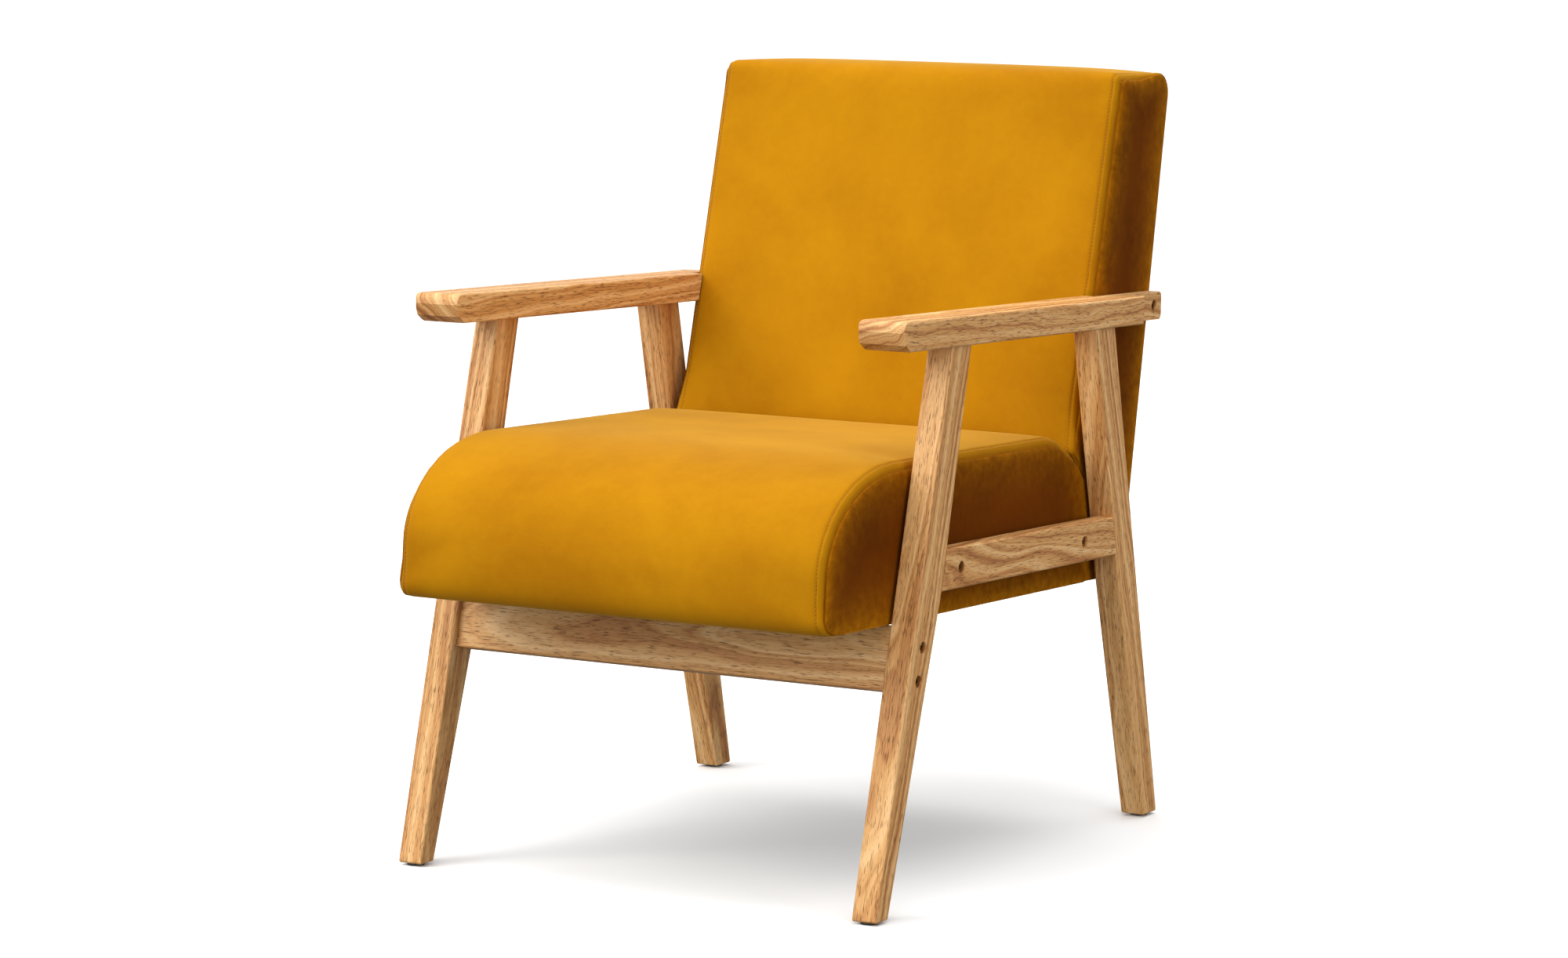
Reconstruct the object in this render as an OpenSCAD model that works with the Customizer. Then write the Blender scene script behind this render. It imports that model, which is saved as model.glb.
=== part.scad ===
// Armchair: two bolted side frames, a front rail, and an upholstered seat and backrest.
// The chair stands on the floor at z = 0 and faces -Y; +X is the sitter's left.

/* [Overall] */
// Width over both armrests
chair_width = 628; // [520:1:760]
// Height of the front top edge of the backrest
back_height = 881; // [800:1:1060]
// Top of the armrests, measured at the middle of the chair's depth
arm_height = 635; // [600:1:765]
// Top of the side rails, measured at the middle of the chair's depth
rail_height = 381; // [320:1:400]
// Slope of the armrests, side rails and seat down to the rear, in degrees
frame_slope = 2.4; // [0.5:0.1:5]

/* [Armrests] */
// Width of an armrest
arm_w = 57; // [50:1:72]
// Thickness of an armrest
arm_t = 33; // [28:1:44]
// Reach of the armrest in front of the front leg's top
arm_nose = 118; // [60:1:130]
// How far the armrest stands out past the leg's outer face
arm_overhang = 4; // [1:0.5:6]
// Full-width length of the armrest behind the rear leg's top
arm_tail = 70; // [50:1:84]
// Thickness of the tongue that lies along the backrest
tongue_t = 16; // [13:1:20]
// Radius of the hollow where the armrest steps in to its tongue
cove_r = 14; // [8:1:18]
// Radius of the armrest's outer corner at that step
step_r = 5; // [2:0.5:6]

/* [Legs] */
// Thickness of a leg across the chair
leg_t = 31; // [26:1:37]
// Distance from the front foot's front edge to the rear foot's rear edge
foot_span = 691; // [640:1:760]
// Lean of the front leg's front edge, in degrees
front_lean = 15.56; // [12:0.1:17]
// Lean of the rear leg's rear edge, in degrees
rear_lean = 11.72; // [9:0.1:14]
// Depth of the front leg at its foot, its knee and its top
front_leg_depth = [27, 52, 45];
// Depth of the rear leg at its foot, its knee and its top
rear_leg_depth = [33, 48, 48];
// Drop of the front leg's knee below the side rail's underside
front_knee_drop = 2; // [0:1:20]
// Drop of the rear leg's knee below the side rail's underside
rear_knee_drop = 24; // [2:1:40]
// Radius of the eased edges on the timber
edge_r = 2.5; // [1:0.5:4]

/* [Rails] */
// Height of a side rail
rail_h = 46; // [38:1:55]
// Thickness of a side rail
rail_t = 21; // [17:1:25]
// Height of the front rail, along its own slope
front_rail_h = 72; // [60:1:80]
// Thickness of the front rail
front_rail_t = 28; // [22:1:34]
// Set-back of the front rail behind the front leg's front face
front_rail_inset = 9; // [3:1:12]

/* [Seat] */
// Length of the seat along its own slope
seat_len = 619; // [580:1:640]
// Thickness of the seat
seat_t = 177; // [150:1:200]
// Drop of the seat's underside below the side rail's underside
seat_drop = 34; // [20:1:44]
// Gap between the seat's side and a leg
seat_gap = 4; // [1:0.5:8]
// Distance from the seat's nose back to the front foot's front edge
seat_reach = 51; // [20:1:80]
// Length and height of the rounded nose
nose_size = [165, 118];
// Radius of the seat's rear top corner
seat_rear_r = 100; // [70:1:110]
// Radius of the seat's front lower corner
seat_lip_r = 18; // [8:1:24]

/* [Backrest] */
// Gap between the backrest's side and a rear leg
back_gap = 7; // [3:0.5:12]
// Thickness of the backrest at its foot
back_base_t = 101; // [90:1:120]
// Horizontal thickness of the backrest at its top
back_top_t = 130; // [112:1:156]
// Lean of the front face, in degrees
back_front_lean = 15.5; // [13:0.1:18]
// Lean of the rear face, in degrees
back_rear_lean = 11.4; // [9:0.1:13]
// Fall of the top edge towards the rear, in degrees
back_top_fall = 3; // [0:0.5:8]
// Radii of the front and rear top corners
back_corner_r = [12, 25];
// Clearance between the backrest and what it meets
soft_gap = 1; // [0.5:0.5:3]

/* [Upholstery] */
// Thickness of the velvet cover with its lining
cover_t = 3; // [2:0.5:5]
// Thickness of a dust cover
dust_t = 0.8; // [0.5:0.1:1.2]
// Thickness of a webbing strap
strap_t = 2; // [1.5:0.5:3]
// Width of a webbing strap
strap_w = 50; // [40:1:60]
// Thickness of the wadding behind the backrest's frame
wadding_t = 2; // [1:0.5:5]

/* [Seat frame] */
// Height of the seat frame's members
seat_frame_h = 80; // [70:1:96]
// Thickness of the side and front members
seat_frame_t = 22; // [18:1:26]
// Thickness of the rear member
seat_rear_t = 28; // [22:1:34]
// Distance from the seat's nose to the frame's front member
seat_frame_setback = 45; // [35:1:60]
// Padding behind the frame's rear member
seat_rear_pad = 3; // [3:0.5:8]
// Leg length of a corner block
block_size = 32; // [25:1:38]

/* [Backrest frame] */
// Width of a stile
stile_w = 40; // [32:1:48]
// Depth of the backrest frame's members
back_frame_t = 30; // [25:1:36]
// Height of the top and middle rails
back_rail_h = 50; // [40:1:60]
// Height of the bottom rail
back_foot_h = 62; // [50:1:74]
// Padding above the frame's top rail
back_top_pad = 28; // [20:1:40]

/* [Fasteners] */
// Diameter of the connector bolts
bolt_d = 8; // [6:0.5:9]
// Diameter and thickness of a bolt head
bolt_head = [13, 4];
// Clearance added to the diameter of a bolt hole
bolt_clearance = 1; // [0.4:0.1:2]
// Diameter and depth of a counterbore
counterbore = [14, 6.5];
// Diameter of the dowels
dowel_d = 8; // [6:1:10]
// Length of a dowel
dowel_l = 36; // [30:1:44]
// Distance of the seat bolts from the front and rear ends of a side rail
seat_bolt_inset = [39, 77];
// Distance between the two bolts in a front leg
front_bolt_pitch = 37; // [28:1:44]
// Drop of those bolts below the middle of the front rail
front_bolt_drop = 3; // [0:1:6]
// Diameter of the spacers between side rail and seat
spacer_d = 24; // [20:1:30]
// Diameter and thickness of a foot glide
glide = [20, 3];

/* [Hidden] */
$fn = 48;

timber = "burlywood";
board = "wheat";
velvet = "goldenrod";
steel = "dimgray";

slope_along = [cos(frame_slope), -sin(frame_slope)];
slope_up = [sin(frame_slope), cos(frame_slope)];
far = 3000;
bore_d = bolt_d + bolt_clearance;
head_recess = counterbore[1] - bolt_head[1];

// Places across the chair
arm_out = chair_width / 2;
leg_out = arm_out - arm_overhang;
leg_in = leg_out - leg_t;
rail_in = leg_out - rail_t;
seat_half = leg_in - seat_gap;
back_half = leg_in - back_gap;
tongue_in = back_half + soft_gap;
tongue_out = tongue_in + tongue_t;

// Plane geometry in the side view, where a point is [y, z]
function unit(v) = v / norm(v);
function meet(p, d, q, e) = p + d * cross(q - p, e) / cross(d, e);
function arc(c, size, from, to, steps) =
    [for (i = [0:steps]) let (a = from + (to - from) * i / steps)
        c + [size[0] * cos(a), size[1] * sin(a)]];
// A corner [y, z] of an outline, moved in by an inset from both of its edges
function inset_point(a, p, b, inset) =
    let (n1 = unit([a[1] - p[1], p[0] - a[0]]), n2 = unit([p[1] - b[1], b[0] - p[0]]))
    p + inset * (n1 + n2) / (1 + n1 * n2);
function inset_outline(points, inset) =
    let (n = len(points))
    [for (i = [0:n - 1])
        inset_point(points[(i + n - 1) % n], points[i], points[(i + 1) % n], inset)];
// The arc that rounds corner p between its neighbours a and b
function fillet(a, p, b, r, steps) =
    let (u = unit(a - p), v = unit(b - p), half = acos(u * v) / 2,
        c = p + unit(u + v) * r / sin(half), from = p + u * r / tan(half) - c,
        to = p + v * r / tan(half) - c, start = atan2(from[1], from[0]),
        turn = (atan2(to[1], to[0]) - start + 540) % 360 - 180)
    arc(c, [r, r], start, start + turn, steps);

// The seat's own frame: u runs back along its underside from the nose, w runs up
function seat_offset(u, w) = u * slope_along + w * slope_up;
lip_front = seat_lip_r * (cos(frame_slope) + sin(frame_slope) - 1);

// The backrest's faces, each as a point and a direction, from the seat's own origin
back_foot = seat_offset(seat_len + soft_gap, 0);
back_heel = seat_offset(seat_len + soft_gap + back_base_t, 0);
rear_dir = [sin(back_rear_lean), cos(back_rear_lean)];
front_dir = [sin(back_front_lean), cos(back_front_lean)];
top_dir = [cos(back_top_fall), -sin(back_top_fall)];
rail_bottom = rail_height - rail_h / cos(frame_slope);
// Height of the seat's underside below the middle of the chair's depth
seat_mid_z = rail_bottom - seat_drop / cos(frame_slope);

// The chair's depth is centred on y = 0, so the seat's origin is found from its far ends.
// The underside's height at the origin depends on that place, so it is solved in one step.
function heel_to_top(z0) = back_height - z0 - back_heel[1];
function top_rear_y(z0) = back_heel[0] + heel_to_top(z0) * tan(back_rear_lean);
function top_corner(z0) = meet([top_rear_y(z0) - back_top_t, back_height - z0], top_dir,
    back_heel, rear_dir);
function rear_reach(z0) =
    let (c = top_corner(z0),
        middle = c + unit(unit(back_heel - c) - top_dir)
            * back_corner_r[1] / sin(acos(unit(back_heel - c) * -top_dir) / 2))
    middle[0] + back_corner_r[1];
reach_a = rear_reach(seat_mid_z);
reach_b = rear_reach(seat_mid_z + 100);
reach_rate = (reach_b - reach_a) / 100;
seat_y = -(lip_front + reach_a) / (2 - reach_rate * tan(frame_slope));
seat_z = seat_mid_z - seat_y * tan(frame_slope);
seat_at = [seat_y, seat_z];
function seat_point(u, w) = seat_at + seat_offset(u, w);

// The seat's outline in its own frame, moved in by an inset
function seat_outline(inset) =
    let (a = nose_size[0], b = nose_size[1], r = seat_rear_r, lip = seat_lip_r, heel_r = 4)
    concat(arc([lip, lip], [lip - inset, lip - inset], 180, 270, 6),
        arc([seat_len - heel_r, heel_r], [heel_r - inset, heel_r - inset], 270, 360, 3),
        arc([seat_len - r, seat_t - r], [r - inset, r - inset], 0, 90, 14),
        arc([a, seat_t - b], [a - inset, b - inset], 90, 180, 20));

// The backrest's outline in the side view, moved in by an inset. Its lower front follows
// the seat's rear.
function back_outline(inset) =
    let (heel = seat_at + back_heel, foot = seat_at + back_foot,
        top = [heel[0] + heel_to_top(seat_z) * tan(back_rear_lean) - back_top_t, back_height],
        front_p = top + inset * [front_dir[1], -front_dir[0]],
        top_p = top - inset * [sin(back_top_fall), cos(back_top_fall)],
        rear_p = heel + inset * [-rear_dir[1], rear_dir[0]],
        base_p = foot + inset * slope_up,
        wall_p = foot + inset * slope_along,
        front_top = meet(front_p, front_dir, top_p, top_dir),
        rear_top = meet(rear_p, rear_dir, top_p, top_dir),
        rear_foot = meet(rear_p, rear_dir, base_p, slope_along),
        front_foot = meet(wall_p, slope_up, base_p, slope_along),
        hub = seat_point(seat_len - seat_rear_r, seat_t - seat_rear_r),
        r = seat_rear_r + soft_gap + inset,
        near = meet(front_p, front_dir, hub, [front_dir[1], -front_dir[0]]),
        half = sqrt(r * r - pow(norm(near - hub), 2)),
        touch = near + half * front_dir - hub,
        start = atan2(touch[1], touch[0]))
    concat([front_foot, rear_foot],
        fillet(rear_foot, rear_top, front_top, back_corner_r[1] - inset, 8),
        fillet(rear_top, front_top, near, back_corner_r[0] - inset, 5),
        arc(hub, [r, r], start, -frame_slope, 12));

// Frames for pieces that lie along the slope, and along the backrest's rear face
module seat_frame() translate([0, seat_y, seat_z]) rotate([-frame_slope, 0, 0]) children();
module arm_frame() translate([0, 0, arm_height]) rotate([-frame_slope, 0, 0]) children();
module rail_frame() translate([0, 0, rail_height]) rotate([-frame_slope, 0, 0]) children();
back_heel_at = seat_at + back_heel;
module back_frame() translate([0, back_heel_at[0], back_heel_at[1]])
    rotate([-back_rear_lean, 0, 0]) children();
// A side-view point in a sloping frame whose origin is at the given height on y = 0
function in_slope(p, height) =
    let (d = p - [0, height]) [d * slope_along, d * slope_up];

// An outline in the side view, extruded across the chair from x0 to x1
module across(x0, x1) translate([x0, 0, 0]) rotate([90, 0, 90]) linear_extrude(x1 - x0)
    children();
module both_sides() {
    children();
    mirror([1, 0, 0]) children();
}
// A bar of convex outline with eased edges all round
module eased_bar(outline, x0, x1) {
    core = inset_outline(outline, edge_r);
    hull() for (p = core, x = [x0 + edge_r, x1 - edge_r])
        translate([x, p[0], p[1]]) sphere(r = edge_r, $fn = 24);
}
// A section with eased corners, from [0, 0] to size
module eased_section(size) {
    box = [[0, 0], [size[0], 0], size, [0, size[1]]];
    polygon([for (i = [0:3])
        each fillet(box[(i + 3) % 4], box[i], box[(i + 1) % 4], edge_r, 4)]);
}

// Leg edges in the side view: the outer edge is straight, the inner edge bends at the knee
foot_z = glide[1];
front_foot_y = seat_y + seat_reach;
rear_foot_y = front_foot_y + foot_span;
function arm_under(y) = arm_height - arm_t / cos(frame_slope) - y * tan(frame_slope);
function rail_under(y) = rail_bottom - y * tan(frame_slope);
function front_edge(z) = front_foot_y + z * tan(front_lean);
function rear_edge(z) = rear_foot_y - z * tan(rear_lean);
front_top_z = arm_under(front_edge(arm_height));
rear_top_z = arm_under(rear_edge(arm_height));
front_knee_z = rail_under(front_edge(rail_height)) - front_knee_drop;
rear_knee_z = rail_under(rear_edge(rail_height)) - rear_knee_drop;
front_knee = [front_edge(front_knee_z) + front_leg_depth[1], front_knee_z];
rear_knee = [rear_edge(rear_knee_z) - rear_leg_depth[1], rear_knee_z];
front_inner_top = [front_edge(front_top_z) + front_leg_depth[2], front_top_z];
rear_inner_top = [rear_edge(rear_top_z) - rear_leg_depth[2], rear_top_z];
function front_inner(z) = meet(front_knee, front_inner_top - front_knee, [0, z], [1, 0])[0];
function rear_inner(z) = meet(rear_knee, rear_inner_top - rear_knee, [0, z], [1, 0])[0];

// Places along the armrest, in its own frame with z = 0 on its top face
arm_front_y = in_slope([front_edge(front_top_z), front_top_z], arm_height)[0] - arm_nose;
arm_mid = meet([0, arm_height - arm_t / 2], slope_along, back_heel_at, rear_dir);
arm_rear_y = in_slope(arm_mid, arm_height)[0] - soft_gap;
tail_y = in_slope([rear_edge(rear_top_z), rear_top_z], arm_height)[0] + arm_tail;
back_bolt_y = arm_rear_y - (cover_t + wadding_t + back_frame_t / 2) + soft_gap;
back_bolt_at = [0, arm_height] + back_bolt_y * slope_along - arm_t / 2 * slope_up;
leg_mid_y = [
    in_slope([(front_edge(front_top_z) + front_inner_top[0]) / 2, front_top_z], arm_height)[0],
    in_slope([(rear_edge(rear_top_z) + rear_inner_top[0]) / 2, rear_top_z], arm_height)[0]];
dowel_pitch = 22;

// Places along the side rail, in its own frame with z = 0 on its top face
rail_mid_z = rail_height - rail_h / 2;
rail_front = meet([0, rail_mid_z], slope_along, front_knee, front_inner_top - front_knee);
rail_rear = meet([0, rail_mid_z], slope_along, rear_knee, rear_inner_top - rear_knee);
rail_front_y = in_slope(rail_front, rail_height)[0];
rail_rear_y = in_slope(rail_rear, rail_height)[0];
seat_bolt_y = [rail_front_y + seat_bolt_inset[0], rail_rear_y - seat_bolt_inset[1]];
rail_dowel_pitch = 24;

// The front rail lies parallel to the front leg, with its front top edge under the seat
front_rail_dir = [sin(front_lean), cos(front_lean)];
front_rail_back = [cos(front_lean), -sin(front_lean)];
front_rail_top = meet([front_foot_y, 0] + front_rail_inset * front_rail_back, front_rail_dir,
    seat_at, slope_along);
module front_rail_frame() translate([0, front_rail_top[0], front_rail_top[1]])
    rotate([-front_lean, 0, 0]) children();
front_bolt_z = [for (k = [-0.5, 0.5]) -front_rail_h / 2 - front_bolt_drop + k * front_bolt_pitch];
nut_inset = 35;
nut_d = 12;
nut_l = 18;
bolt_past_nut = 10;
bore_past_bolt = 4;

/* Fastener shapes */
// A bolt along X with its head's outer face at x = 0 and its shank towards -X
module bolt(shank_l) {
    socket_d = 5.8;
    socket_depth = 2.5;
    difference() {
        union() {
            translate([-bolt_head[1], 0, 0]) rotate([0, 90, 0])
                cylinder(d = bolt_head[0], h = bolt_head[1]);
            translate([-bolt_head[1] - shank_l, 0, 0]) rotate([0, 90, 0])
                cylinder(d = bolt_d, h = shank_l);
        }
        translate([-socket_depth, 0, 0]) rotate([0, 90, 0])
            cylinder(d = socket_d, h = socket_depth + 1, $fn = 6);
    }
}
// The hole for that bolt: its counterbore opens at x = 0
module bolt_hole(depth) {
    translate([-counterbore[1], 0, 0]) rotate([0, 90, 0])
        cylinder(d = counterbore[0], h = counterbore[1] + 1);
    translate([-depth, 0, 0]) rotate([0, 90, 0]) cylinder(d = bore_d, h = depth);
}
tee_flange = [20, 1.5];
tee_barrel = [11, 9];
// A tee nut along X, with its flange's seat at x = 0 and its barrel towards +X
module tee_nut() difference() {
    union() {
        translate([-tee_flange[1], 0, 0]) rotate([0, 90, 0])
            cylinder(d = tee_flange[0], h = tee_flange[1]);
        rotate([0, 90, 0]) cylinder(d = tee_barrel[0], h = tee_barrel[1]);
    }
    translate([-tee_flange[1] - 1, 0, 0]) rotate([0, 90, 0])
        cylinder(d = bolt_d, h = tee_barrel[1] + tee_flange[1] + 2);
}
module tee_nut_hole(depth) {
    rotate([0, 90, 0]) translate([0, 0, -1]) cylinder(d = tee_barrel[0], h = tee_barrel[1] + 1);
    rotate([0, 90, 0]) translate([0, 0, -1]) cylinder(d = bore_d, h = depth + 2);
}

// Where the fasteners stand, each at the outer face of the timber that it passes through
module at_front_bolts() front_rail_frame() for (z = front_bolt_z)
    translate([leg_out, front_rail_t / 2, z]) children();
module at_seat_bolts() rail_frame() for (y = seat_bolt_y)
    translate([leg_out, y, -rail_h / 2]) children();
module at_back_bolt() translate([tongue_out, back_bolt_at[0], back_bolt_at[1]]) children();
module at_arm_dowels() arm_frame() for (y = leg_mid_y, k = [-0.5, 0.5])
    translate([(leg_in + leg_out) / 2, y + k * dowel_pitch, -arm_t]) children();
module at_rail_dowels() rail_frame() for (y = [rail_front_y, rail_rear_y], k = [-0.5, 0.5])
    translate([leg_out - rail_t / 2, y, -rail_h / 2 + k * rail_dowel_pitch]) children();
front_foot_mid = front_foot_y + foot_z * tan(front_lean) + front_leg_depth[0] / 2;
rear_foot_mid = rear_foot_y - foot_z * tan(rear_lean) - rear_leg_depth[0] / 2;
module at_feet() for (y = [front_foot_mid, rear_foot_mid])
    translate([(leg_in + leg_out) / 2, y, 0]) children();
glide_pin = [3, 15];

/* Side frames, built for the +X side */
module arm_dowel() translate([0, 0, -dowel_l / 2]) cylinder(d = dowel_d, h = dowel_l);
module rail_dowel() rotate([90, 0, 0]) translate([0, 0, -dowel_l / 2])
    cylinder(d = dowel_d, h = dowel_l);

// The armrest's outline: a flat top, a nose that rounds under from a crease, a square tail
nose_top_r = 9;
nose_crease = 12;
nose_undercut = 17;
tail_r = 6;
function arm_outline() =
    let (top = [arm_front_y + 2, 0], crease = [arm_front_y, -nose_crease],
        under = [arm_front_y + nose_undercut, -arm_t], rear = [arm_rear_y, 0],
        low = [arm_rear_y, -arm_t],
        belly_share = [0.28, 0.36],
        belly = [arm_front_y + nose_undercut * belly_share[0],
            -arm_t + (arm_t - nose_crease) * belly_share[1]])
    concat(fillet(rear, top, crease, nose_top_r, 5), [crease, belly, under],
        fillet(under, low, rear, tail_r, 4), fillet(low, rear, top, tail_r, 4));

// The plank before it is cut: its side view, its section and its plan all bound it
module arm_plank() intersection() {
    across(arm_out - arm_w, arm_out) polygon(arm_outline());
    translate([arm_out - arm_w, far / 2, -arm_t]) rotate([90, 0, 0])
        linear_extrude(far) eased_section([arm_w, arm_t]);
    translate([arm_out - arm_w, arm_front_y, -arm_t - 1])
        linear_extrude(arm_t + 2) eased_section([arm_w, arm_rear_y - arm_front_y]);
}
module arm() color(timber) difference() {
    arm_frame() arm_plank();
    // The outer step in to the tongue, with a hollow at its root
    arm_frame() translate([tongue_out, tail_y, -arm_t - 1]) linear_extrude(arm_t + 2)
        polygon(concat([[0, far], [far, far], [far, -step_r]],
            arc([arm_out - tongue_out - step_r, -step_r], [step_r, step_r], 0, 90, 6),
            arc([cove_r, cove_r], [cove_r, cove_r], 270, 180, 8)));
    // The notch round the backrest
    across(0, tongue_in) {
        polygon(back_outline(-soft_gap));
        translate([0, arm_height]) rotate(-frame_slope)
            translate([back_bolt_y - back_frame_t / 2, -arm_t - 1]) square([far, arm_t + 2]);
    }
    at_back_bolt() bolt_hole(arm_w);
    at_arm_dowels() arm_dowel();
}

// Everything above the armrest's underside
module above_arm() arm_frame() translate([-far / 2, -far / 2, -arm_t]) cube(far);
leg_excess = 20;
module front_leg() color(timber) difference() {
    up = front_top_z + leg_excess;
    eased_bar([[front_edge(foot_z), foot_z],
        [front_edge(foot_z) + front_leg_depth[0], foot_z], front_knee,
        [front_inner(up), up], [front_edge(up), up]], leg_in, leg_out);
    above_arm();
    at_front_bolts() bolt_hole(leg_t + 1);
    at_arm_dowels() arm_dowel();
    at_rail_dowels() rail_dowel();
    at_feet() cylinder(d = glide_pin[0], h = foot_z + glide_pin[1]);
}
module rear_leg() color(timber) difference() {
    up = rear_top_z + leg_excess;
    eased_bar([[rear_edge(foot_z) - rear_leg_depth[0], foot_z],
        [rear_edge(foot_z), foot_z], [rear_edge(up), up], [rear_inner(up), up],
        rear_knee], leg_in, leg_out);
    above_arm();
    at_arm_dowels() arm_dowel();
    at_rail_dowels() rail_dowel();
    at_feet() cylinder(d = glide_pin[0], h = foot_z + glide_pin[1]);
}
module side_rail() color(timber) difference() {
    intersection() {
        rail_frame() translate([rail_in, far / 2, -rail_h]) rotate([90, 0, 0])
            linear_extrude(far) eased_section([rail_t, rail_h]);
        across(rail_in, leg_out) polygon([
            [front_inner(0), 0], [rear_inner(0), 0],
            [rear_inner(arm_height), arm_height], [front_inner(arm_height), arm_height]]);
    }
    at_seat_bolts() bolt_hole(leg_t);
    at_rail_dowels() rail_dowel();
}
module front_rail() color(timber) difference() {
    front_rail_frame() translate([-leg_in, 0, -front_rail_h]) rotate([90, 0, 90])
        linear_extrude(2 * leg_in) eased_section([front_rail_t, front_rail_h]);
    both_sides() {
        at_front_bolts() bolt_hole(leg_t + nut_inset + bolt_past_nut + bore_past_bolt);
        at_front_bolts() translate([-leg_t - nut_inset, -nut_l / 2, 0]) rotate([-90, 0, 0])
            cylinder(d = nut_d, h = nut_l + front_rail_t);
    }
}

/* Fasteners */
module arm_dowels() color(timber) both_sides() at_arm_dowels() arm_dowel();
module rail_dowels() color(timber) both_sides() at_rail_dowels() rail_dowel();
front_bolt_l = leg_t - counterbore[1] + nut_inset + bolt_past_nut;
module front_rail_bolts() color(steel) both_sides() at_front_bolts()
    translate([-head_recess, 0, 0]) bolt(front_bolt_l);
module front_rail_nuts() color(steel) both_sides() at_front_bolts()
    translate([-leg_t - nut_inset, -nut_l / 2, 0]) rotate([-90, 0, 0]) difference() {
        cylinder(d = nut_d, h = nut_l);
        translate([0, 0, nut_l / 2]) rotate([0, 90, 0])
            cylinder(d = bolt_d, h = 2 * nut_d, center = true);
    }
frame_out = seat_half - cover_t;
frame_in = frame_out - seat_frame_t;
seat_bolt_l = leg_out - counterbore[1] - frame_in + tee_flange[1] + 4;
module seat_bolts() color(steel) both_sides() at_seat_bolts()
    translate([-head_recess, 0, 0]) bolt(seat_bolt_l);
module seat_tee_nuts() color(steel) both_sides() at_seat_bolts()
    translate([frame_in - leg_out, 0, 0]) tee_nut();
module seat_spacers() color(timber) both_sides() at_seat_bolts()
    translate([seat_half - leg_out, 0, 0]) rotate([0, 90, 0]) difference() {
        cylinder(d = spacer_d, h = rail_in - seat_half);
        translate([0, 0, -1]) cylinder(d = bore_d, h = leg_t);
    }
stile_out = back_half - cover_t;
stile_in = stile_out - stile_w;
back_bolt_l = tongue_out - counterbore[1] - stile_in + tee_flange[1] + 4;
module back_bolts() color(steel) both_sides() at_back_bolt()
    translate([-head_recess, 0, 0]) bolt(back_bolt_l);
module back_tee_nuts() color(steel) both_sides() at_back_bolt()
    translate([stile_in - tongue_out, 0, 0]) tee_nut();
module foot_glides() color("dimgray") both_sides() at_feet() {
    cylinder(d = glide[0], h = glide[1]);
    cylinder(d = glide_pin[0], h = glide[1] + glide_pin[1]);
}

// The seat frame's bounds in the seat's own frame
frame_low = cover_t;
frame_top = frame_low + seat_frame_h;
frame_front = seat_frame_setback;
foam_floor = frame_top + 2 * strap_t;
// How far the seat's rounded rear corner narrows it at the height of the webbing
corner_rise = max(0, foam_floor - seat_t + seat_rear_r);
corner_inset = seat_rear_r - cover_t - sqrt(pow(seat_rear_r - cover_t, 2) - pow(corner_rise, 2));
frame_rear = seat_len - cover_t - corner_inset - seat_rear_pad;

/* Plates that join the backrest's foot to the seat's rear */
plate_t = 2.5;
plate_w = 60;
plate_inset = 95;
plate_x = frame_in - plate_inset;
plate_screw = [4.5, 28];
screw_head = [9, 2.5];
screw_pitch = 34;
seat_screw_u = frame_rear - seat_rear_t / 2;
back_member_u = seat_len + soft_gap + back_base_t - cover_t - wadding_t - back_frame_t / 2;
plate_end = 12;
module at_joint_screws() seat_frame() for (u = [seat_screw_u, back_member_u],
        x = [plate_x - screw_pitch / 2, plate_x + screw_pitch / 2])
    translate([x, u, 0]) children();
module joint_plates() color(steel) both_sides() difference() {
    seat_frame() translate([plate_x - plate_w / 2, seat_screw_u - plate_end, -plate_t])
        cube([plate_w, back_member_u - seat_screw_u + 2 * plate_end, plate_t]);
    at_joint_screws() translate([0, 0, -plate_t - 1]) cylinder(d = plate_screw[0], h = plate_t + 2);
}
module joint_screw() {
    translate([0, 0, -plate_t - screw_head[1]]) cylinder(d = screw_head[0], h = screw_head[1]);
    translate([0, 0, -plate_t]) cylinder(d = plate_screw[0], h = plate_screw[1]);
}
module joint_screws() color(steel) both_sides() at_joint_screws() joint_screw();
module screw_holes() both_sides() at_joint_screws() translate([0, 0, -plate_t])
    cylinder(d = plate_screw[0], h = plate_screw[1]);

/* Seat */
module seat_member_bores() both_sides() at_seat_bolts() translate([frame_in - leg_out, 0, 0])
    tee_nut_hole(seat_frame_t);
module seat_side_member() color(board) difference() {
    seat_frame() translate([frame_in, frame_front, frame_low])
        cube([seat_frame_t, frame_rear - frame_front, seat_frame_h]);
    seat_member_bores();
}
module seat_front_member() color(board) seat_frame()
    translate([-frame_in, frame_front, frame_low])
        cube([2 * frame_in, seat_frame_t, seat_frame_h]);
module seat_rear_member() color(board) difference() {
    seat_frame() translate([-frame_in, frame_rear - seat_rear_t, frame_low])
        cube([2 * frame_in, seat_rear_t, seat_frame_h]);
    screw_holes();
}
block_h = 50;
nut_room = 2;
module seat_corner_blocks() color(board) both_sides() difference() {
    seat_frame() {
        translate([frame_in, frame_front + seat_frame_t, frame_low]) linear_extrude(block_h)
            polygon([[0, 0], [0, block_size], [-block_size, 0]]);
        translate([frame_in, frame_rear - seat_rear_t, frame_low]) linear_extrude(block_h)
            polygon([[0, 0], [-block_size, 0], [0, -block_size]]);
    }
    // Room for the tee nuts and the bolt ends, should they reach a block
    at_seat_bolts() translate([frame_in - leg_out + nut_room, 0, 0]) rotate([0, -90, 0])
        cylinder(d = tee_flange[0] + 2 * nut_room, h = tee_barrel[1] + 2 * nut_room);
}
strap_count = 5;
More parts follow.
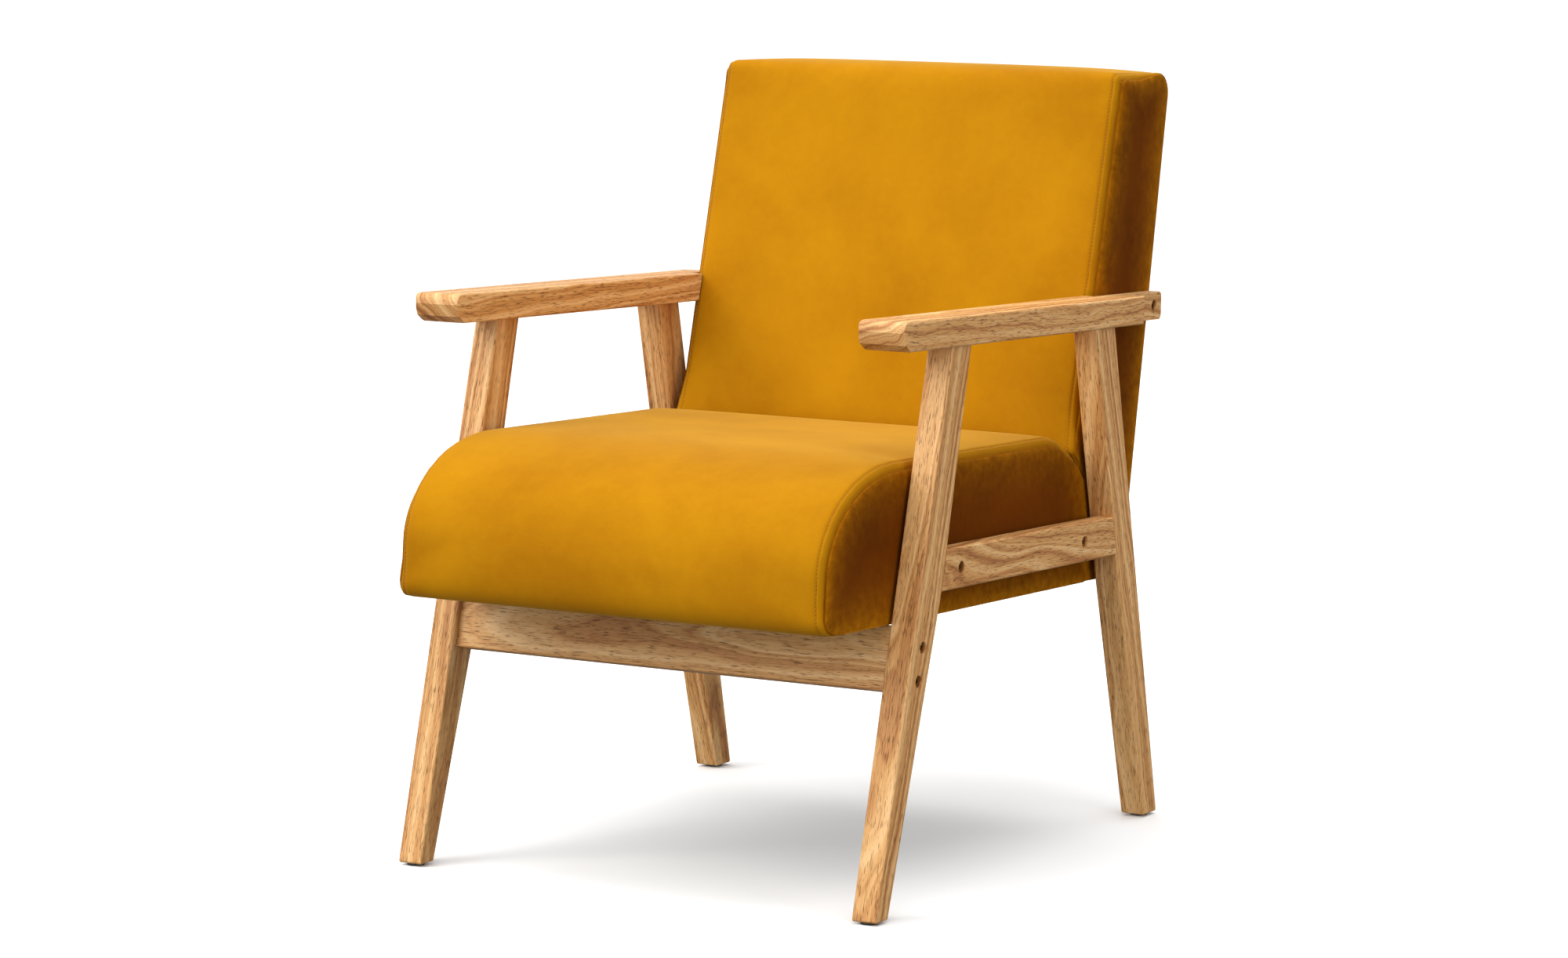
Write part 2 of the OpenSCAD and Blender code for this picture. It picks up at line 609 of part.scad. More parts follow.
module seat_cross_webbing() color("saddlebrown") seat_frame() {
    inner_front = frame_front + seat_frame_t;
    inner_len = frame_rear - seat_rear_t - inner_front;
    for (i = [1:strap_count])
        translate([-frame_out, inner_front + inner_len * (i - 0.5) / strap_count - strap_w / 2,
            frame_top]) cube([2 * frame_out, strap_w, strap_t]);
}
module seat_long_webbing() color("saddlebrown") seat_frame() {
    for (i = [1:strap_count])
        translate([-frame_in + 2 * frame_in * (i - 0.5) / strap_count - strap_w / 2,
            frame_front, frame_top + strap_t])
            cube([strap_w, frame_rear - frame_front, strap_t]);
}
module seat_foam() color("khaki") seat_frame() difference() {
    across(-frame_out, frame_out) polygon(seat_outline(cover_t));
    translate([-far / 2, frame_front, -far + foam_floor]) cube(far);
}
dust_front_gap = 40;
dust_front = frame_front + dust_front_gap;
module seat_cover() color(velvet) seat_frame() difference() {
    across(-frame_out, frame_out) difference() {
        polygon(seat_outline(0));
        polygon(seat_outline(cover_t));
    }
    translate([-far / 2, dust_front, -1]) cube([far, frame_rear - dust_front, cover_t + 2]);
}
module seat_side_panel() color(velvet) difference() {
    seat_frame() across(frame_out, seat_half) polygon(seat_outline(0));
    at_seat_bolts() bolt_hole(2 * leg_t);
}
module seat_dust_cover() color("dimgray") difference() {
    seat_frame() translate([-frame_out, dust_front, cover_t - dust_t])
        cube([2 * frame_out, frame_rear - dust_front, dust_t]);
    screw_holes();
}

/* Backrest */
back_rear_y = -cover_t - wadding_t;
back_front_y = back_rear_y - back_frame_t;
// The frame runs from the backrest's underside up to its top padding
function back_top_v() =
    let (p = [back_heel_at[0] + heel_to_top(seat_z) * tan(back_rear_lean), back_height])
    (p - back_heel_at) * rear_dir - back_top_pad - cover_t;
back_frame_top = back_top_v();
arm_bolt_v = (back_bolt_at - back_heel_at) * rear_dir;
// Everything below the inside of the backrest's bottom edge
module under_back(margin) seat_frame() translate([-far / 2, -far / 2, -far + margin]) cube(far);
module back_member(x0, x1, v0, v1) difference() {
    back_frame() translate([x0, back_front_y, v0]) cube([x1 - x0, back_frame_t, v1 - v0]);
    under_back(cover_t);
}
stile_drop = 20;
middle_drop = 20;
strap_gap = 10;
module back_stile() color(board) difference() {
    back_member(stile_in, stile_out, -stile_drop, back_frame_top);
    at_back_bolt() translate([stile_in - tongue_out, 0, 0]) tee_nut_hole(stile_w);
}
module back_top_rail() color(board)
    back_member(-stile_in, stile_in, back_frame_top - back_rail_h, back_frame_top);
module back_middle_rail() color(board)
    back_member(-stile_in, stile_in, arm_bolt_v - back_rail_h - middle_drop, arm_bolt_v - middle_drop);
module back_bottom_rail() color(board) difference() {
    back_member(-stile_in, stile_in, -20, back_foot_h);
    screw_holes();
}
module back_webbing() color("saddlebrown") back_frame() {
    straps = 6;
    low = back_foot_h + strap_gap;
    for (i = [1:straps])
        translate([-stile_out, back_front_y - strap_t,
            low + (back_frame_top - low) * (i - 0.5) / straps - strap_w / 2])
            cube([2 * stile_out, strap_t, strap_w]);
}
module back_foam() color("khaki") difference() {
    across(-stile_out, stile_out) polygon(back_outline(cover_t));
    back_frame() translate([-far / 2, back_front_y - strap_t, -far + back_frame_top]) cube(far);
}
module back_wadding() color("ivory") intersection() {
    across(-stile_out, stile_out) polygon(back_outline(cover_t));
    back_frame() translate([-far / 2, back_rear_y, -far + back_frame_top]) cube(far);
}
module back_cover() color(velvet) difference() {
    across(-stile_out, stile_out) difference() {
        polygon(back_outline(0));
        polygon(back_outline(cover_t));
    }
    seat_frame() translate([-far / 2, seat_len + soft_gap + cover_t, -far / 2])
        cube([far, back_base_t - 2 * cover_t, far / 2 + cover_t + 1]);
}
module back_side_panel() color(velvet) difference() {
    across(stile_out, back_half) polygon(back_outline(0));
    at_back_bolt() bolt_hole(2 * leg_t);
}
module back_dust_cover() color("dimgray") difference() {
    seat_frame() translate([-stile_out, seat_len + soft_gap + cover_t, cover_t - dust_t])
        cube([2 * stile_out, back_base_t - 2 * cover_t, dust_t]);
    screw_holes();
}

arm();  // arm_left
mirror([1, 0, 0]) arm();  // arm_right
front_leg();  // front_leg_left
mirror([1, 0, 0]) front_leg();  // front_leg_right
rear_leg();  // rear_leg_left
mirror([1, 0, 0]) rear_leg();  // rear_leg_right
side_rail();  // side_rail_left
mirror([1, 0, 0]) side_rail();  // side_rail_right
front_rail();
arm_dowels();
rail_dowels();
front_rail_bolts();
front_rail_nuts();
seat_bolts();
seat_tee_nuts();
seat_spacers();
back_bolts();
back_tee_nuts();
joint_plates();
joint_screws();
foot_glides();
seat_side_member();  // seat_side_member_left
mirror([1, 0, 0]) seat_side_member();  // seat_side_member_right
seat_front_member();
seat_rear_member();
seat_corner_blocks();
seat_cross_webbing();
seat_long_webbing();
seat_foam();
seat_cover();
seat_side_panel();  // seat_side_panel_left
mirror([1, 0, 0]) seat_side_panel();  // seat_side_panel_right
seat_dust_cover();
back_stile();  // back_stile_left
mirror([1, 0, 0]) back_stile();  // back_stile_right
back_top_rail();
back_middle_rail();
back_bottom_rail();
back_webbing();
back_foam();
back_wadding();
back_cover();
back_side_panel();  // back_side_panel_left
mirror([1, 0, 0]) back_side_panel();  // back_side_panel_right
back_dust_cover();
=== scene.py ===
import math

import bmesh
import bpy
import numpy as np
from mathutils import Euler, Matrix, Vector, noise


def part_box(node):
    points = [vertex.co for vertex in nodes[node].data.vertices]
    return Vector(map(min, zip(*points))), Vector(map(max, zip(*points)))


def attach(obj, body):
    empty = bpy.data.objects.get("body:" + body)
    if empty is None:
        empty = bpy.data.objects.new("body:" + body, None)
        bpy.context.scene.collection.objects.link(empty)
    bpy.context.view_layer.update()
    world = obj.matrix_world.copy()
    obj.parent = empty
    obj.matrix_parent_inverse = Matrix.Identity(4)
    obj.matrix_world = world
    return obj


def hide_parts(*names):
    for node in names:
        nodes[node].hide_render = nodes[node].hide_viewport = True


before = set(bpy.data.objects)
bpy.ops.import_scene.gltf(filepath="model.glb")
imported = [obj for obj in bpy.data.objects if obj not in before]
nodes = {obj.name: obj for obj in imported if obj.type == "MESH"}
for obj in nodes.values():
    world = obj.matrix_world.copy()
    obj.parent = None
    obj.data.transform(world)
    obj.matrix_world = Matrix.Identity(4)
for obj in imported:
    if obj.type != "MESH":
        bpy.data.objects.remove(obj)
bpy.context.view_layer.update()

# ---------------------------------------------------------------------------------------
# Side frames: an arm, two raked legs and a side rail each side, in oiled rubberwood.
# The planks are flat-sawn, so broad faces show loops of growth rings and the edges show
# straight pores; the edges are eased by a few millimetres and doweled together.
MM = 0.001


def linear(hex_colour):
    """An sRGB hex colour as a linear RGBA value."""
    parts = [int(hex_colour[i:i + 2], 16) / 255 for i in (0, 2, 4)]
    return [p / 12.92 if p <= 0.04045 else ((p + 0.055) / 1.055) ** 2.4 for p in parts] + [1.0]


def add(tree, kind, inputs=None, stops=None, **settings):
    """Adds a node: settings are its properties, and inputs gives each socket a value or a link."""
    node = tree.nodes.new(kind)
    for name, value in settings.items():
        setattr(node, name, value)
    for place, (at, colour) in enumerate(stops or []):
        ramp = node.color_ramp.elements
        element = ramp[place] if place < len(ramp) else ramp.new(at)
        element.position, element.color = at, linear(colour)
    for socket, value in (inputs or {}).items():
        if isinstance(value, bpy.types.NodeSocket):
            tree.links.new(value, node.inputs[socket])
        else:
            node.inputs[socket].default_value = value
    return node


def new_material(name):
    """A material with its Principled shader and its object coordinates."""
    material = bpy.data.materials.new(name)
    material.use_nodes = True
    tree = material.node_tree
    coordinates = tree.nodes.new("ShaderNodeTexCoord").outputs["Object"]
    return material, tree, tree.nodes["Principled BSDF"], coordinates


def paint(piece, *materials):
    """Gives a piece its materials in place of any it has."""
    piece.data.materials.clear()
    for material in materials:
        piece.data.materials.append(material)


# Rubberwood under oil: straw and honey, faint rings, short dark pores and a satin surface
WOOD_PALE, WOOD_MID, WOOD_WARM, WOOD_DARK = "e2b67e", "cd985a", "b1753f", "83502a"
RING_GAP = 9 * MM
PORE_WIDTH = 0.9 * MM       # real pores are 0.3 mm wide; drawn wider so that they show
PORE_LENGTH = 13 * MM
FIBRE_WIDTH = 1.2 * MM
FIBRE_LENGTH = 110 * MM
PATCH_WIDTH, PATCH_LENGTH = 60 * MM, 420 * MM
WANDER_WIDTH, WANDER_LENGTH, WANDER = 60 * MM, 260 * MM, 34 * MM     # how the rings stray
RING_SHARE, PATCH_SHARE, FIBRE_SHARE = 0.42, 0.36, 0.40
PORE_STAIN, PORE_CROWDING = "5e3816", 0.05


def rubberwood(piece, grain, pith, tilt):
    """Timber for one plank: grain is its long direction, pith the ring centre across it."""
    low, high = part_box(piece)
    material, tree, shader, coordinates = new_material("oiled_rubberwood_" + piece)
    turn = Vector(grain).rotation_difference((0, 0, 1)).to_euler()
    centre = turn.to_matrix() @ ((low + high) / 2)
    along = add(tree, "ShaderNodeMapping", {"Vector": coordinates, "Rotation": turn,
                                            "Location": -centre}).outputs[0]

    def stretched(width, length):
        scale = (1 / width, 1 / width, 1 / length)
        return add(tree, "ShaderNodeMapping", {"Vector": along, "Scale": scale}).outputs[0]

    # Growth rings: distance from a pith line that lies across and at a slight tilt to the plank
    wander = add(tree, "ShaderNodeTexNoise", {"Vector": stretched(WANDER_WIDTH, WANDER_LENGTH),
                                              "Scale": 1.0, "Detail": 2.0, "Roughness": 0.55})
    shift = add(tree, "ShaderNodeVectorMath", {0: wander.outputs["Color"], 1: (0.5, 0.5, 0.5)},
                operation="SUBTRACT")
    spread = add(tree, "ShaderNodeVectorMath", {0: shift.outputs[0], 1: (WANDER, WANDER, 0)},
                 operation="MULTIPLY")
    bent = add(tree, "ShaderNodeVectorMath", {0: along, 1: spread.outputs[0]})
    from_pith = add(tree, "ShaderNodeMapping", {"Vector": bent.outputs[0],
                                                "Location": (pith[0], pith[1], 0),
                                                "Rotation": (tilt, tilt * 0.6, 0)})
    flat = add(tree, "ShaderNodeVectorMath", {0: from_pith.outputs[0], 1: (1, 1, 0)},
               operation="MULTIPLY")
    radius = add(tree, "ShaderNodeVectorMath", {0: flat.outputs[0]}, operation="LENGTH")
    ring_count = add(tree, "ShaderNodeMath", {0: radius.outputs["Value"], 1: 1 / RING_GAP},
                     operation="MULTIPLY")
    rings = add(tree, "ShaderNodeTexNoise", {"W": ring_count.outputs[0], "Scale": 1.0,
                                             "Detail": 3.0, "Roughness": 0.6},
                noise_dimensions="1D")
    ring_tone = add(tree, "ShaderNodeMapRange", {"Value": rings.outputs[0], "From Min": 0.36,
                                                 "From Max": 0.66})
    patch = add(tree, "ShaderNodeTexNoise", {"Vector": stretched(PATCH_WIDTH, PATCH_LENGTH),
                                             "Scale": 1.0, "Detail": 3.0, "Roughness": 0.5})
    fibre = add(tree, "ShaderNodeTexNoise", {"Vector": stretched(FIBRE_WIDTH, FIBRE_LENGTH),
                                             "Scale": 1.0, "Detail": 3.0, "Roughness": 0.6})
    tone = add(tree, "ShaderNodeMath", {0: ring_tone.outputs[0], 1: RING_SHARE, 2: 0.0},
               operation="MULTIPLY_ADD")
    tone = add(tree, "ShaderNodeMath", {0: patch.outputs[0], 1: PATCH_SHARE, 2: tone.outputs[0]},
               operation="MULTIPLY_ADD")
    tone = add(tree, "ShaderNodeMath", {0: fibre.outputs[0], 1: FIBRE_SHARE, 2: tone.outputs[0]},
               operation="MULTIPLY_ADD")
    colour = add(tree, "ShaderNodeValToRGB", {"Fac": tone.outputs[0]},
                 stops=[(0.36, WOOD_PALE), (0.58, WOOD_MID), (0.78, WOOD_WARM), (0.95, WOOD_DARK)])
    # Pores: short dark dashes, thicker where a ring is dense
    pore = add(tree, "ShaderNodeTexNoise", {"Vector": stretched(PORE_WIDTH, PORE_LENGTH),
                                            "Scale": 1.0, "Detail": 1.0, "Roughness": 0.5})
    crowd = add(tree, "ShaderNodeMath", {0: ring_tone.outputs[0], 1: PORE_CROWDING,
                                         2: pore.outputs[0]}, operation="MULTIPLY_ADD")
    dash = add(tree, "ShaderNodeMapRange", {"Value": crowd.outputs[0], "From Min": 0.61,
                                            "From Max": 0.68, "To Max": 0.70})
    stained = add(tree, "ShaderNodeMix", {"Factor": dash.outputs[0], "A": colour.outputs[0],
                                          "B": linear(PORE_STAIN)}, data_type="RGBA")
    tree.links.new(stained.outputs["Result"], shader.inputs["Base Color"])
    rough = add(tree, "ShaderNodeMapRange", {"Value": dash.outputs[0], "To Min": 0.46,
                                             "To Max": 0.75})
    tree.links.new(rough.outputs[0], shader.inputs["Roughness"])
    depth = add(tree, "ShaderNodeMath", {0: dash.outputs[0], 1: -1.0, 2: tone.outputs[0]},
                operation="MULTIPLY_ADD")
    bump = add(tree, "ShaderNodeBump", {"Height": depth.outputs[0], "Strength": 0.35,
                                        "Distance": 0.4 * MM})
    tree.links.new(bump.outputs[0], shader.inputs["Normal"])
    shader.inputs["Specular IOR Level"].default_value = 0.3
    shader.inputs["Coat Weight"].default_value = 0.05
    shader.inputs["Coat Roughness"].default_value = 0.35
    paint(nodes[piece], material)


PLANK_END = 0.08            # share of a leg's height that counts as one of its ends


def plank_direction(piece):
    """The long direction of a leg, from the middles of its lower and its upper end."""
    points = np.array([v.co for v in nodes[piece].data.vertices])
    low, high = points[:, 2].min(), points[:, 2].max()
    end = PLANK_END * (high - low)
    foot = points[points[:, 2] < low + end].mean(0)
    top = points[points[:, 2] > high - end].mean(0)
    direction = Vector(top - foot)
    direction.x = 0
    return direction.normalized()


SLOPE = math.radians(2.4)                   # arms, rails and seat fall to the rear
slope_back = Vector((0, math.cos(SLOPE), -math.sin(SLOPE)))
# Ring centre across each plank in metres, and its tilt to the plank in radians
rubberwood("front_leg_left", plank_direction("front_leg_left"), (0.012, 0.055), 0.05)
rubberwood("front_leg_right", plank_direction("front_leg_right"), (-0.050, 0.030), -0.03)
rubberwood("rear_leg_left", plank_direction("rear_leg_left"), (-0.020, 0.048), -0.045)
rubberwood("rear_leg_right", plank_direction("rear_leg_right"), (0.060, -0.020), 0.04)
rubberwood("arm_left", slope_back, (0.035, 0.060), 0.035)
rubberwood("arm_right", slope_back, (-0.045, 0.050), -0.04)
rubberwood("side_rail_left", slope_back, (0.050, -0.040), 0.06)
rubberwood("side_rail_right", slope_back, (-0.030, 0.060), -0.05)
for dowels in ("arm_dowels", "rail_dowels"):
    rubberwood(dowels, slope_back, (0.03, 0.03), 0.02)

# ---------------------------------------------------------------------------------------
# Front rail: one wide flat-sawn board bolted between the front legs. Being the widest face
# of the chair it shows the long loops of the rings best.
rubberwood("front_rail", (1, 0, 0), (0.020, 0.046), 0.075)
# Spacers turned from the same timber stand between the side rails and the seat
rubberwood("seat_spacers", (1, 0, 0), (0.03, 0.03), 0.02)

# ---------------------------------------------------------------------------------------
# Bolts and nuts: bronzed hexagon-socket connector bolts in the legs, rails and arms.
# The dark lacquer is thin and rubs through to warmer metal on the rims.


def mottle(tree, shader, vector, size, stops, **detail):
    """Base colour that drifts between stops in patches of a size; gives back the noise."""
    noise_inputs = {"Vector": vector, "Scale": 1 / size, **detail}
    patches = add(tree, "ShaderNodeTexNoise", noise_inputs).outputs[0]
    colour = add(tree, "ShaderNodeValToRGB", {"Fac": patches}, stops=stops)
    tree.links.new(colour.outputs[0], shader.inputs["Base Color"])
    return patches


def coated_metal(name, dark, worn, roughness):
    """Lacquered or plated steel with small patches where the coat is thinner."""
    material, tree, shader, coordinates = new_material(name)
    wear = mottle(tree, shader, coordinates, 3 * MM, [(0.35, dark), (0.7, worn)],
                  Detail=4.0, Roughness=0.6)
    gloss = add(tree, "ShaderNodeMapRange", {"Value": wear,
                                             "To Min": roughness + 0.12,
                                             "To Max": roughness - 0.06})
    tree.links.new(gloss.outputs[0], shader.inputs["Roughness"])
    bump = add(tree, "ShaderNodeBump", {"Height": wear, "Strength": 0.15,
                                        "Distance": 0.05 * MM})
    tree.links.new(bump.outputs[0], shader.inputs["Normal"])
    shader.inputs["Metallic"].default_value = 1.0
    return material


bronzed = coated_metal("bronzed_steel", "80592a", "ad8448", 0.36)
zinc = coated_metal("zinc_plated_steel", "8f9091", "b9bbbd", 0.38)
for bolts in ("front_rail_bolts", "seat_bolts", "back_bolts"):
    paint(nodes[bolts], bronzed)
for steel in ("front_rail_nuts", "seat_tee_nuts", "back_tee_nuts", "joint_plates", "joint_screws"):
    paint(nodes[steel], zinc)

# Foot glides: moulded nylon, dull black, a little scuffed on the sole
nylon, tree, shader, coordinates = new_material("moulded_nylon")
mottle(tree, shader, coordinates, 2 * MM, [(0.4, "1d1b19"), (0.75, "3a3733")], Detail=3.0)
shader.inputs["Roughness"].default_value = 0.6
paint(nodes["foot_glides"], nylon)

# ---------------------------------------------------------------------------------------
# Inside of the seat and backrest: pine frame members, jute-brown webbing, and the black
# non-woven cloth that closes the undersides. Only that cloth can be seen, from below.


def inner_board(piece, grain):
    """Unfinished softwood: straight pale fibres with darker late wood."""
    material, tree, shader, coordinates = new_material("raw_pine_" + piece)
    turn = Vector(grain).rotation_difference((0, 0, 1)).to_euler()
    along = add(tree, "ShaderNodeMapping", {"Vector": coordinates, "Rotation": turn}).outputs[0]
    fine = add(tree, "ShaderNodeMapping", {"Vector": along,
                                           "Scale": (1 / (4 * MM), 1 / (4 * MM), 1 / (200 * MM))})
    mottle(tree, shader, fine.outputs[0], 1.0, [(0.35, "e6cf9f"), (0.7, "b98f58")], Detail=3.0)
    shader.inputs["Roughness"].default_value = 0.75
    paint(nodes[piece], material)


for member in ("seat_side_member_left", "seat_side_member_right"):
    inner_board(member, slope_back)
for member in ("seat_front_member", "seat_rear_member", "seat_corner_blocks", "back_top_rail",
               "back_middle_rail", "back_bottom_rail"):
    inner_board(member, (1, 0, 0))
for member in ("back_stile_left", "back_stile_right"):
    inner_board(member, plank_direction(member))


def woven(name, dark, pale, pitch, roughness):
    """A plain weave of threads at the given pitch, over and under each other."""
    material, tree, shader, coordinates = new_material(name)
    scale = math.pi / (10 * pitch)          # a wave texture repeats every pi / (10 x scale)
    warp = add(tree, "ShaderNodeTexWave", {"Vector": coordinates, "Scale": scale},
               bands_direction="X")
    weft = add(tree, "ShaderNodeTexWave", {"Vector": coordinates, "Scale": scale},
               bands_direction="Y")
    thread = add(tree, "ShaderNodeMath", {0: warp.outputs["Fac"], 1: weft.outputs["Fac"]},
                 operation="MULTIPLY")
    colour = add(tree, "ShaderNodeValToRGB", {"Fac": thread.outputs[0]},
                 stops=[(0.1, dark), (0.9, pale)])
    tree.links.new(colour.outputs[0], shader.inputs["Base Color"])
    bump = add(tree, "ShaderNodeBump", {"Height": thread.outputs[0], "Strength": 0.3,
                                        "Distance": 0.3 * MM})
    tree.links.new(bump.outputs[0], shader.inputs["Normal"])
    shader.inputs["Roughness"].default_value = roughness
    return material


# Dull and matt; both are drawn about twice as coarse as the real ones, so that they show
webbing = woven("woven_webbing", "4a3320", "7d5a38", 3 * MM, 0.8)
dust_cloth = woven("spun_polypropylene", "121212", "2a2a2a", 2.5 * MM, 0.85)
for straps in ("seat_cross_webbing", "seat_long_webbing", "back_webbing"):
    paint(nodes[straps], webbing)
for cloth in ("seat_dust_cover", "back_dust_cover"):
    paint(nodes[cloth], dust_cloth)

# ---------------------------------------------------------------------------------------
# Seat cushion: a foam block with a bull nose, in mustard velvet. The band over its top and
# nose is sewn to two side panels, and a line of topstitching holds the seam's turnings
# flat. The cover is pulled round the frame and stapled under the dust cover.

# Mustard velvet: a short pile that drinks light face on and glows at glancing angles
NAP_PATCH = 160 * MM
NAP_FINE = 12 * MM
PILE = 1.0 * MM             # real pile is finer; drawn coarser so that it shows
NAP_SHARE, PILE_SHARE = 0.22, 0.30


def velvet(name, dark, pale, glow, sheen):
    """Short-pile velvet: brushed patches of nap, a sheen, and the colour glow painted along its
    seams as painted shade or a painted highlight.
    """
    material, tree, shader, coordinates = new_material(name)
    brushed = add(tree, "ShaderNodeTexNoise", {"Vector": coordinates, "Scale": 1 / NAP_PATCH,
                                               "Detail": 3.0, "Roughness": 0.5,
                                               "Distortion": 0.4})
    fine = add(tree, "ShaderNodeTexNoise", {"Vector": coordinates, "Scale": 1 / NAP_FINE,
                                            "Detail": 3.0, "Roughness": 0.6})
    pile = add(tree, "ShaderNodeTexNoise", {"Vector": coordinates, "Scale": 1 / PILE,
                                            "Detail": 2.0, "Roughness": 0.7})
    tone = add(tree, "ShaderNodeMath", {0: fine.outputs[0], 1: NAP_SHARE, 2: brushed.outputs[0]},
               operation="MULTIPLY_ADD")
    tone = add(tree, "ShaderNodeMath", {0: pile.outputs[0], 1: PILE_SHARE, 2: tone.outputs[0]},
               operation="MULTIPLY_ADD")
    colour = add(tree, "ShaderNodeValToRGB", {"Fac": tone.outputs[0]},
                 stops=[(0.50, dark), (1.02, pale)])
    # Painted light along the seams: this mask mixes glow into the colour, painted crease shade on
    # the bands (6a2c00) and a painted highlight on the side panels (c68008)
    seam = add(tree, "ShaderNodeAttribute", attribute_name="seam_shade_and_highlight")
    painted_seam_mask = add(tree, "ShaderNodeMath", {0: seam.outputs["Fac"], 1: fine.outputs[0]},
                  operation="MULTIPLY")
    lit = add(tree, "ShaderNodeMix", {"Factor": painted_seam_mask.outputs[0], "A": colour.outputs[0],
                                      "B": linear(glow)}, data_type="RGBA")
    tree.links.new(lit.outputs["Result"], shader.inputs["Base Color"])
    bump = add(tree, "ShaderNodeBump", {"Height": pile.outputs[0], "Strength": 0.25,
                                        "Distance": 0.35 * MM})
    tree.links.new(bump.outputs[0], shader.inputs["Normal"])
    shader.inputs["Roughness"].default_value = 0.82
    shader.inputs["Specular IOR Level"].default_value = 0.03
    shader.inputs["Sheen Weight"].default_value = sheen
    shader.inputs["Sheen Roughness"].default_value = 0.35
    shader.inputs["Sheen Tint"].default_value = linear("ffdc7a")
    return material


# The side panels take a far darker copy of the same velvet, with less sheen: painted shade for the
# sides that face away from the key
velvet_band = velvet("mustard_velvet_band", "9d6505", "b47c09", "6a2c00", 0.32)
velvet_side_painted_shade = velvet("mustard_velvet_side", "4f2101", "6c3302", "c68008", 0.05)

ROW = 6.5 * MM              # spacing of mesh rows round the outline
COLUMN = 8 * MM             # spacing of mesh columns across the cushion
SPINE_STEP = 8 * MM
BLEND_ROWS = 5              # rows each way over which the softness changes
WELD, SEAM_WELD = 0.01 * MM, 0.02 * MM
SIDE_FACING = 0.9
STITCH_INSET = 9 * MM       # topstitching to seam
# Distance from the seam and height over the pattern line in mm, across the seam's rolled edge
BAND_EDGE = [(0, -3.2), (0.7, -1.9), (1.6, -0.8), (3.0, -0.1), (4.8, 0.3), (6.6, 0.1),
             (7.9, -0.7), (9.0, -1.5), (10.1, -0.8), (11.6, -0.2), (14, 0.0), (18, 0.0), (22, 0.0)]
SIDE_EDGE = [(1.2, -0.7), (3, -0.2), (6, 0.0), (10, 0.0), (16, 0.0), (24, 0.0)]
SHOULDER, SHOULDER_DROP = 20 * MM, 9.5 * MM     # where there is only foam behind the seam
SIDE_SHOULDER, SIDE_DROP = 18 * MM, 5 * MM
SEAM_DEPTH = 1.6 * MM       # how far the seam itself is drawn in from the side panel's face
PINNED_EDGE = 14.5 * MM     # how far from a seam the cloth is held still
TIGHT_SEAM = 0.35           # share of the seam's relief left where the cover is over timber
PUCKER, PUCKER_PITCH = 0.55 * MM, 15 * MM
PUCKER_ROW = 7              # where the noise is read, so that the two seams pucker unlike
SEAM_HIGHLIGHT_REACH = 22 * MM         # how far from a seam the painted highlight on the side panels reaches
SEAM_SHADE_WIDTH = 0.9 * MM       # width of the painted crease shade along a seam or a line of stitching
STITCH_SHADE_SHARE = 0.6         # strength of that painted shade along the stitching, of that along the seam
GATHER = [0.35, 0.5, 0.65, 0.8, 1.0]        # rings of a side panel, on the way to its spine
HELD_RINGS, PANEL_HOLD = 4, 0.85            # side panel rings held still, and the others' pin


def rounded(distance, width, drop):
    """How far an edge rounded over a width has fallen at a distance from the seam."""
    short = max(0.0, 1 - distance / width)
    return drop * (1 - math.sqrt(1 - short * short))


def relief(softness):
    """The share of the seam's relief at a softness."""
    return TIGHT_SEAM + (1 - TIGHT_SEAM) * softness


def drawn_in(distance, softness):
    """How far the band's edge is pulled in from the side panel's face."""
    seam = SEAM_DEPTH * relief(softness) + SIDE_DROP * softness
    return seam * max(0.0, 1 - distance / SHOULDER)


def softened(points, soft):
    """The softness at each point of an outline, blended over its neighbours."""
    raw = [soft(point) for point in points]
    reach = range(-BLEND_ROWS, BLEND_ROWS + 1)
    return [sum(raw[(i + k) % len(raw)] for k in reach) / len(reach) for i in range(len(raw))]


def outline_of(panel):
    """The outer edge of a CAD side panel in the side view, as points [y, z] spaced by ROW."""
    shape = bmesh.new()
    shape.from_mesh(nodes[panel].data)
    bmesh.ops.remove_doubles(shape, verts=shape.verts, dist=WELD)
    face_x = max(v.co.x for v in shape.verts)
    outer = [face for face in shape.faces
             if face.normal.x > SIDE_FACING and abs(face.calc_center_median().x - face_x) < MM]
    rim = {}
    for face in outer:
        for loop in face.loops:
            if sum(f in outer for f in loop.edge.link_faces) == 1:
                rim[loop.vert.index] = loop.link_loop_next.vert.index
    shape.verts.ensure_lookup_table()
    rings = []
    while rim:
        ring = [rim.popitem()]
        while ring[-1][1] in rim:
            ring.append((ring[-1][1], rim.pop(ring[-1][1])))
        rings.append([shape.verts[a].co.yz.copy() for a, _ in ring])
    ring = max(rings, key=lambda r: max(p.y for p in r) - min(p.y for p in r))
    shape.free()
    points = []
    for a, b in zip(ring, ring[1:] + ring[:1]):
        steps = max(1, math.ceil((b - a).length / ROW))
        points += [a.lerp(b, i / steps) for i in range(steps)]
    return points


def outward(points):
    """The outward unit normals of a closed outline that runs anticlockwise seen from +X."""
    area = sum(a.x * b.y - b.x * a.y for a, b in zip(points, points[1:] + points[:1]))
    way = 1 if area > 0 else -1
    result = []
    for i, point in enumerate(points):
        along = points[(i + 1) % len(points)] - points[i - 1]
        result.append(Vector((along.y, -along.x)).normalized() * way)
    return result


